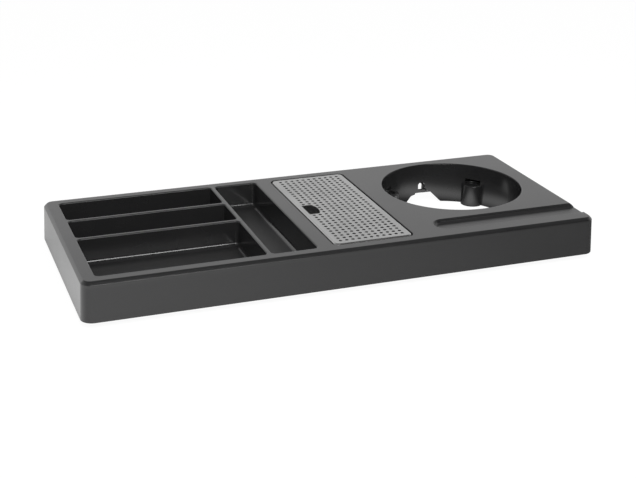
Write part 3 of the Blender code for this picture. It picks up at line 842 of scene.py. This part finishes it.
def dress(piece, finish, body, node):
    """Gives a piece its material, smooth shading and place in the frame."""
    mesh = piece.data
    mesh.name = piece.name
    mesh.materials.clear()
    mesh.materials.append(finish)
    mesh.shade_smooth()
    mesh.set_sharp_from_angle(angle=SMOOTH_ANGLE)
    weights = piece.modifiers.new("flat_faces_stay_flat", "WEIGHTED_NORMAL")
    weights.keep_sharp = True
    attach(piece, body)
    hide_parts(node)


# Stage, lights and camera

WHITE = (1, 1, 1, 1)
SKY = (0.36, 0.36, 0.36, 1)
STAGE_HALF = 6.0
STAGE_SEEN = 0.95
STAGE_SHADE = 0.09
STAGE_BOUNCE = 0.8

# The floor as reflections see it, with painted light and shade: its shade, which is lower inside the kettle
# well,
# # and where and how much it glows, with a painted pool of light in the well and painted shadow under the
# tray
MIRROR_SHADE = 0.40
WELL_SHADE = 0.12
LEFT_GLOW = 1.05
RIGHT_GLOW = 0.0
RIGHT_GLOW_REACH = 0.05
BACK_GLOW = 0.8
WELL_GLOW = 0.04
WELL_BLEND = 0.01
POOL_GLOW = 1.5
POOL_X = KETTLE_X + 0.024
POOL_Y = KETTLE_Y + 0.018
POOL_INNER = 0.012
POOL_OUTER = 0.038
# The painted shadow under the tray fades in from this far inside the tray's sides to this far outside
DARK_INSET = 0.02
DARK_REACH = 0.01

# The studio as reflections see it: brightness by how far a direction points up. Each grade is from, to, start
# and end: a factor by how far a direction points right, and the back's share by how far it points back.
BACK_STUDIO = ((0.0, 1.2), (0.25, 1.12), (0.5, 0.74), (0.65, 0.38), (1.0, 0.1))
FRONT_STUDIO = ((0.0, 0.3), (0.3, 0.2), (0.55, 0.12), (0.75, 0.04))
BACK_TO_RIGHT = (0.3, 0.6, 1, 0.87)
FRONT_TO_RIGHT = (0.15, 0.55, 1, 0.12)
FRONT_TO_BACK = (-0.3, -0.1, 0, 1)


def make_floor():
    """White to the camera with the tray's shadow. In reflections it has painted light and shade: painted
    shadow under the tray, a glow behind it, a soft painted pool of light in the kettle well with darker
    painted shade round it, and a glow in front that falls off towards the right."""
    floor = box("studio_floor", -STAGE_HALF, STAGE_HALF, -STAGE_HALF, STAGE_HALF, -OVERRUN, 0)
    material, tree, shader, add = new_material("white_floor")
    tree.nodes.remove(shader)

    def matt(albedo):
        return add("ShaderNodeBsdfDiffuse", {"Color": (albedo, albedo, albedo, 1)}).outputs[0]

    def glowing(strength):
        return add("ShaderNodeEmission", {"Color": WHITE, "Strength": strength}).outputs[0]

    def both(first, second):
        return add("ShaderNodeAddShader", {0: first, 1: second}).outputs[0]

    def either(choice, first, second):
        return add("ShaderNodeMixShader", {0: choice, 1: first, 2: second}).outputs[0]

    def clear_of(along, edge):
        """1 outside the tray's sides along one axis, 0 under the tray."""
        return grade(add, calculate(add, "ABSOLUTE", along), edge - DARK_INSET, edge + DARK_REACH, 0, 1)

    rays = add("ShaderNodeLightPath").outputs
    place = add("ShaderNodeNewGeometry").outputs["Position"]
    split = add("ShaderNodeSeparateXYZ", {"Vector": place}).outputs
    # Painted shadow under the tray and a painted pool of light in the kettle well, seen only in reflections
    outside = calculate(add, "MAXIMUM", clear_of(split["X"], RIGHT), clear_of(split["Y"], BACK))
    front_glow = grade(add, split["X"], LEFT, RIGHT + RIGHT_GLOW_REACH, LEFT_GLOW, RIGHT_GLOW)
    around = mix(add, grade(add, split["Y"], 0, BACK, 0, 1), front_glow, BACK_GLOW)
    pool = grade(add, distance(add, place, POOL_X, POOL_Y), POOL_INNER, POOL_OUTER, POOL_GLOW, WELL_GLOW)
    from_well = distance(add, place, KETTLE_X, KETTLE_Y)
    in_well = grade(add, from_well, KETTLE_RADIUS - WELL_BLEND, KETTLE_RADIUS, 1, 0)
    strength = calculate(add, "MAXIMUM", calculate(add, "MULTIPLY", outside, around),
                         calculate(add, "MULTIPLY", pool, in_well))
    # Painted shade: the floor's matt part is darker inside the kettle well
    shade = grade(add, in_well, 0, 1, MIRROR_SHADE, WELL_SHADE)
    mirrored = both(glowing(strength), add("ShaderNodeBsdfDiffuse", {"Color": shade}).outputs[0])
    seen = both(glowing(STAGE_SEEN), matt(STAGE_SHADE))
    mixed = either(rays["Is Camera Ray"], either(rays["Is Glossy Ray"], matt(STAGE_BOUNCE), mirrored), seen)
    tree.links.new(mixed, tree.nodes["Material Output"].inputs["Surface"])
    floor.data.materials.append(material)


def make_world():
    """White to the camera. Reflections show a white backdrop behind the tray and a dim studio in front,
    and both dim towards the right."""
    world = bpy.data.worlds.new("studio")
    bpy.context.scene.world = world
    world.use_nodes = True
    tree = world.node_tree
    add = node_maker(tree)
    rays = add("ShaderNodeLightPath").outputs
    direction = add("ShaderNodeTexCoord").outputs["Generated"]
    split = add("ShaderNodeSeparateXYZ", {"Vector": direction}).outputs
    back = dim(add, ramp(add, split["Z"], BACK_STUDIO), grade(add, split["X"], *BACK_TO_RIGHT))
    front = dim(add, ramp(add, split["Z"], FRONT_STUDIO), grade(add, split["X"], *FRONT_TO_RIGHT))
    mirrored = mix_colour(add, grade(add, split["Y"], *FRONT_TO_BACK), front, back)
    glossy = mix_colour(add, rays["Is Glossy Ray"], SKY, mirrored)
    shown = mix_colour(add, rays["Is Camera Ray"], glossy, WHITE)
    tree.links.new(shown, tree.nodes["Background"].inputs["Color"])


def add_lamp(name, place, aim, width, height, watts, diffuse, glossy):
    """A rectangular lamp that lights matt surfaces, shows in reflections, or both, and is never seen."""
    lamp = bpy.data.lights.new(name, "AREA")
    lamp.shape = "RECTANGLE"
    lamp.size = width
    lamp.size_y = height
    lamp.energy = watts
    holder = bpy.data.objects.new(name, lamp)
    bpy.context.scene.collection.objects.link(holder)
    holder.location = place
    holder.rotation_euler = (Vector(aim) - Vector(place)).to_track_quat("-Z", "Y").to_euler()
    holder.visible_diffuse = diffuse
    holder.visible_glossy = glossy
    holder.visible_camera = False
    return holder


def link_light(lamp, piece, state):
    """Leaves a piece out of a lamp's light (EXCLUDE), or gives the light to that piece alone (INCLUDE)."""
    receivers = bpy.data.collections.new(f"{lamp.name}_receivers")
    receivers.objects.link(piece)
    receivers.collection_objects[0].light_linking.link_state = state
    lamp.light_linking.receiver_collection = receivers


def make_camera():
    """The camera of the fit: straight back from its target by azimuth and elevation, then rolled."""
    across = math.cos(CAMERA_ELEVATION)
    back = Vector((math.sin(CAMERA_AZIMUTH) * across, -math.cos(CAMERA_AZIMUTH) * across,
                   math.sin(CAMERA_ELEVATION)))
    right = (-back).cross(Vector((0, 0, 1))).normalized()
    up = right.cross(-back)
    rolled_right = right * math.cos(CAMERA_ROLL) + up * math.sin(CAMERA_ROLL)
    rolled_up = up * math.cos(CAMERA_ROLL) - right * math.sin(CAMERA_ROLL)
    turn = Matrix((rolled_right, rolled_up, back)).transposed()
    camera = bpy.data.cameras.new("camera")
    camera.sensor_fit = "HORIZONTAL"
    camera.sensor_width = SENSOR_WIDTH
    camera.lens = FOCAL_PIXELS / PHOTO_WIDTH * SENSOR_WIDTH
    holder = bpy.data.objects.new("camera", camera)
    bpy.context.scene.collection.objects.link(holder)
    holder.matrix_world = Matrix.Translation(Vector(CAMERA_TARGET) + back * CAMERA_DISTANCE) @ turn.to_4x4()
    bpy.context.scene.camera = holder


make_camera()
make_floor()
make_world()
add_lamp("front_fill", place=(-0.15, -0.9, 1.1), aim=(0, 0, 0), width=1.0, height=0.7, watts=16.5,
         diffuse=True, glossy=False)
softbox = add_lamp("front_softbox", place=(-0.05, -1.65, 0.92), aim=(0, 0, 0.03), width=1.1, height=0.4,
                   watts=15, diffuse=False, glossy=True)
glint = add_lamp("plate_glint", place=(-0.45, -1.5, 0.7), aim=(0, 0, 0.03), width=0.9, height=0.4,
                 watts=6, diffuse=False, glossy=True)

dress(make_shell(), moulded_plastic(), "tray", "tray_body")
plate = make_plate()
dress(plate, brushed_steel(), "grille", "drip_grille")
link_light(softbox, plate, "EXCLUDE")
link_light(glint, plate, "INCLUDE")
rubber = black_rubber()
for number, (x, y, _) in enumerate(foot_places(), 1):
    dress(make_pad(f"foot_pad_{number}", x, y), rubber, "tray", f"foot_{number}")

bpy.context.scene.view_settings.view_transform = "Standard"
